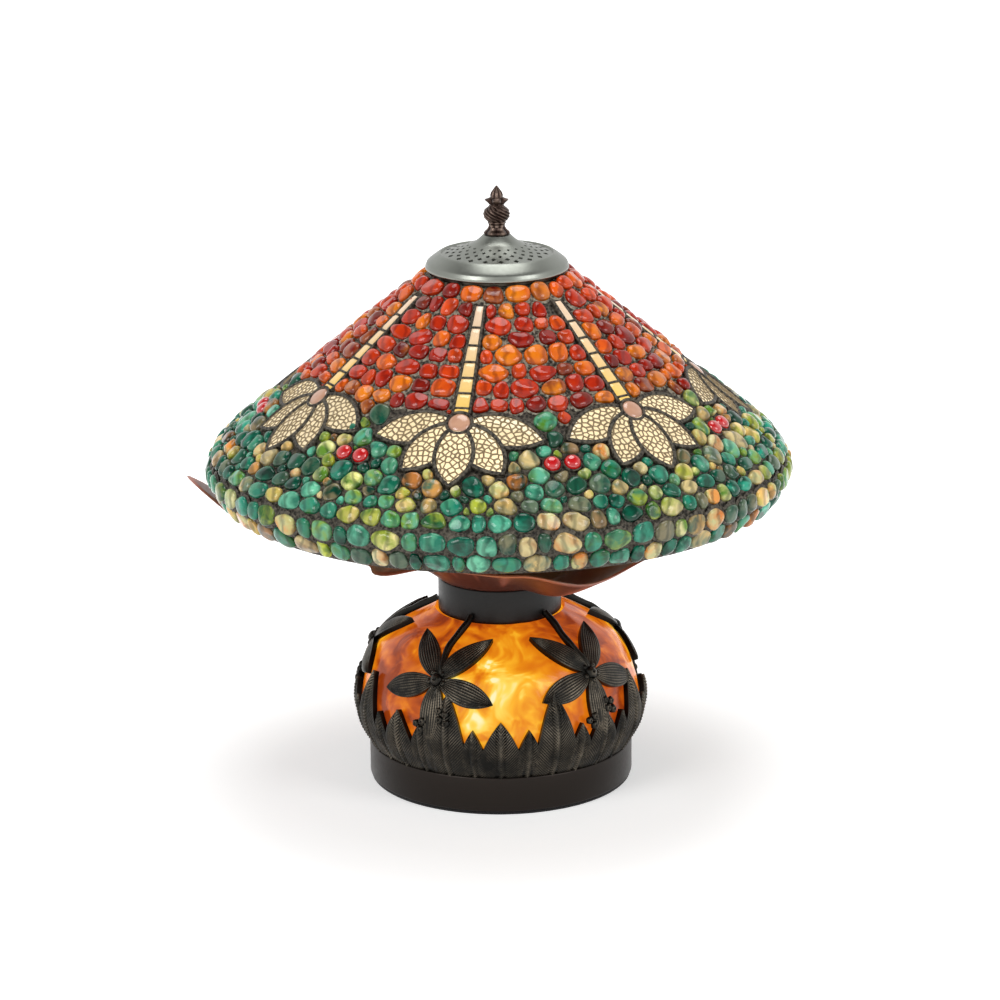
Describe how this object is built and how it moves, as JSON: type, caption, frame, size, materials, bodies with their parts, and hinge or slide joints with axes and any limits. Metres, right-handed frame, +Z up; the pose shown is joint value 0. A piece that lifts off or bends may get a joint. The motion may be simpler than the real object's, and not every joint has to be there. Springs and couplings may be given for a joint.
{
  "type": "stained glass table lamp",
  "caption": "Table lamp with a conical stone-and-glass shade, pierced heat cap and finial, ruffled metal leaf dish, and a lit amber glass bowl inside an openwork casting on a round foot.",
  "frame": {"origin": "on the lamp's own axis, at the underside of the felt pad that the lamp stands on", "axes": "+Z up along the lamp's axis, towards the finial; -Y towards the viewer in the picture; +X to the viewer's right, away from the long lobe of the leaf dish"},
  "size_m": [0.4325, 0.42, 0.428],
  "materials": {
    "dark_bronze": "satin",
    "cast_bronze": "satin antique",
    "amber_glass": "glossy",
    "copper_brown": "satin",
    "brass": "satin",
    "steel": "satin",
    "cast_iron": "rough",
    "black_felt": "matte",
    "black_plastic": "satin",
    "frosted_glass": "frosted",
    "lead_grey": "satin",
    "red_agate": "polished",
    "green_agate": "polished",
    "cream_glass": "glossy",
    "red_glass": "glossy",
    "pewter": "satin",
    "aged_bronze": "satin antique"
  },
  "bodies": {
    "base": {"foot_shell": "dark_bronze", "felt_pad": "black_felt", "cord_bush": "black_plastic", "foot_ballast": "cast_iron", "foot_washer": "steel", "foot_nut": "steel", "bowl_glass": "amber_glass", "pierced_casting": "cast_bronze", "neck_collar": "dark_bronze", "leaf_dish": "copper_brown", "dish_washer": "brass", "dish_nut": "brass", "centre_pipe": "steel", "socket_cluster": "brass", "base_light_bracket": "steel", "base_light_socket": "black_plastic", "base_light_bulb": "frosted_glass", "shade_rod": "brass", "socket_left": "brass", "bulb_cap_left": "steel", "bulb_left": "frosted_glass", "socket_right": "brass", "bulb_cap_right": "steel", "bulb_right": "frosted_glass"},
    "key_left": {"turn_key_left": "black_plastic"},
    "key_right": {"turn_key_right": "black_plastic"},
    "shade": {"shade_shell": "lead_grey", "red_stone_field": "red_agate", "green_stone_border": "green_agate", "rim_bead": "lead_grey", "shade_top_ring": "brass", "shade_spider": "brass", "flower_stem_1": "cream_glass", "flower_fan_1": "cream_glass", "jewel_pair_1": "red_glass", "flower_stem_2": "cream_glass", "flower_fan_2": "cream_glass", "jewel_pair_2": "red_glass", "flower_stem_3": "cream_glass", "flower_fan_3": "cream_glass", "jewel_pair_3": "red_glass", "flower_stem_4": "cream_glass", "flower_fan_4": "cream_glass", "jewel_pair_4": "red_glass", "flower_stem_5": "cream_glass", "flower_fan_5": "cream_glass", "jewel_pair_5": "red_glass", "flower_stem_6": "cream_glass", "flower_fan_6": "cream_glass", "jewel_pair_6": "red_glass", "flower_stem_7": "cream_glass", "flower_fan_7": "cream_glass", "jewel_pair_7": "red_glass"},
    "heat_cap": {"heat_cap": "pewter"},
    "finial": {"finial": "aged_bronze"}
  },
  "joints": [
    {"name": "shade_lift", "type": "slide", "parent": "base", "child": "shade", "axis": [0, 0, 1], "range_m": [0, 0.25]},
    {"name": "cap_lift", "type": "slide", "parent": "shade", "child": "heat_cap", "axis": [0, 0, 1], "range_m": [0, 0.06]},
    {"name": "finial_turn", "type": "hinge", "parent": "heat_cap", "child": "finial", "pos_m": [0, 0, 0.41], "axis": [0, 0, 1], "continuous": true},
    {"name": "key_left_turn", "type": "hinge", "parent": "base", "child": "key_left", "pos_m": [-0.03061, -0.023, 0.19153], "axis": [0, -1, 0], "continuous": true},
    {"name": "key_right_turn", "type": "hinge", "parent": "base", "child": "key_right", "pos_m": [0.03061, -0.023, 0.19153], "axis": [0, -1, 0], "continuous": true}
  ]
}
